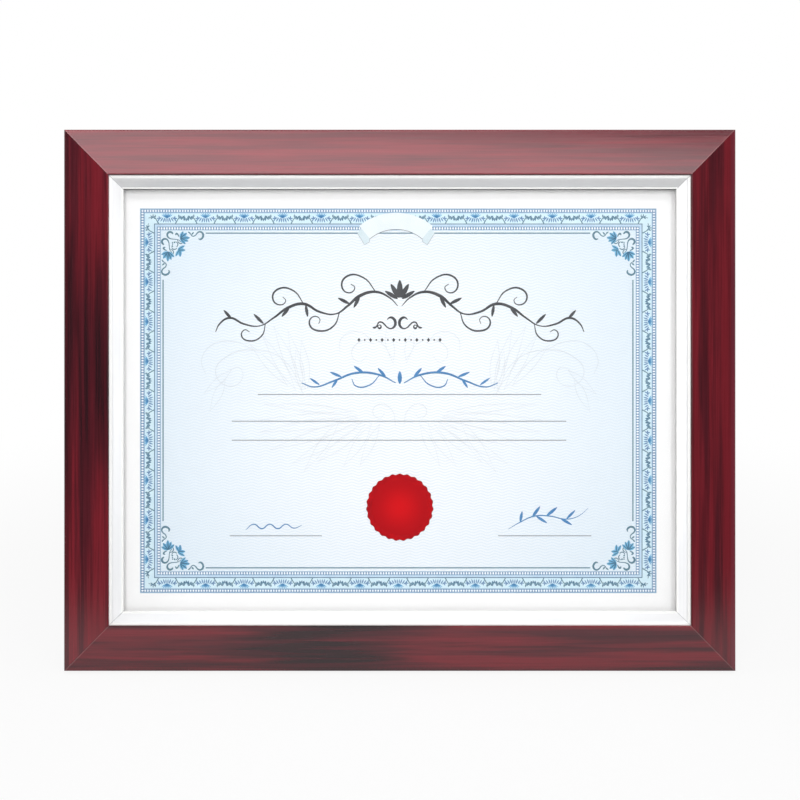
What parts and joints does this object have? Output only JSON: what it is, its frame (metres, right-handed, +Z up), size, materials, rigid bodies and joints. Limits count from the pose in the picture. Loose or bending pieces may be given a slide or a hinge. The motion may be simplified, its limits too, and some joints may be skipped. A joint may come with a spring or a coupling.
{
  "type": "certificate frame",
  "caption": "Landscape certificate frame in mahogany-look moulding with a silver inner lip, a glazed printed sheet with a red wafer seal, and a hinged easel leg.",
  "frame": {"origin": "middle of the footprint on the table, under the frame as it stands on its easel leg", "axes": "+X to the right as seen from the front, +Y to the back, +Z up. The front faces -Y and leans back."},
  "size_m": [0.3278, 0.0858, 0.258],
  "materials": {
    "mahogany": "glossy lacquer",
    "silver": "satin silver foil",
    "glazing": "clear",
    "certificate_paper": "printed",
    "seal_red": "satin foil",
    "grey_card": "plain",
    "black_board": "black paper on board",
    "plated_steel": "nickel plate",
    "ribbon": "woven"
  },
  "bodies": {
    "frame": {"corner_v_nails": "plated_steel", "rail_bottom": "mahogany", "silver_slip_bottom": "silver", "rail_left": "mahogany", "silver_slip_left": "silver", "rail_top": "mahogany", "silver_slip_top": "silver", "rail_right": "mahogany", "silver_slip_right": "silver", "glazing_pane": "glazing", "wafer_seal": "seal_red", "certificate_sheet": "certificate_paper", "filler_card": "grey_card", "backing_board": "black_board", "turn_button_screws": "plated_steel", "sawtooth_hanger": "plated_steel", "hanger_nails": "plated_steel", "hinge_board_leaf": "plated_steel", "hinge_pin": "plated_steel", "board_rivets": "plated_steel", "ribbon_stay": "ribbon"},
    "easel": {"easel_leg": "black_board", "hinge_leg_leaf": "plated_steel", "leg_rivets": "plated_steel"},
    "turn_button_top_left_body": {"turn_button_top_left": "plated_steel"},
    "turn_button_top_right_body": {"turn_button_top_right": "plated_steel"},
    "turn_button_bottom_left_body": {"turn_button_bottom_left": "plated_steel"},
    "turn_button_bottom_right_body": {"turn_button_bottom_right": "plated_steel"},
    "turn_button_left_body": {"turn_button_left": "plated_steel"},
    "turn_button_right_body": {"turn_button_right": "plated_steel"}
  },
  "joints": [
    {"name": "easel_hinge", "type": "hinge", "parent": "frame", "child": "easel", "pos_m": [0, 0.01233, 0.16876], "axis": [1, 0, 0], "range_deg": [-24, 0], "deforming": ["ribbon_stay"]},
    {"name": "button_top_left_pivot", "type": "hinge", "parent": "frame", "child": "turn_button_top_left_body", "pos_m": [-0.07, 0.02778, 0.24056], "axis": [0, 0.9692, -0.2462], "continuous": true},
    {"name": "button_top_right_pivot", "type": "hinge", "parent": "frame", "child": "turn_button_top_right_body", "pos_m": [0.07, 0.02778, 0.24056], "axis": [0, 0.9692, -0.2462], "continuous": true},
    {"name": "button_bottom_left_pivot", "type": "hinge", "parent": "frame", "child": "turn_button_bottom_left_body", "pos_m": [-0.07, -0.02935, 0.01561], "axis": [0, 0.9692, -0.2462], "continuous": true},
    {"name": "button_bottom_right_pivot", "type": "hinge", "parent": "frame", "child": "turn_button_bottom_right_body", "pos_m": [0.07, -0.02935, 0.01561], "axis": [0, 0.9692, -0.2462], "continuous": true},
    {"name": "button_left_pivot", "type": "hinge", "parent": "frame", "child": "turn_button_left_body", "pos_m": [-0.1478, -0.00078, 0.12808], "axis": [0, 0.9692, -0.2462], "continuous": true},
    {"name": "button_right_pivot", "type": "hinge", "parent": "frame", "child": "turn_button_right_body", "pos_m": [0.1478, -0.00078, 0.12808], "axis": [0, 0.9692, -0.2462], "continuous": true}
  ]
}
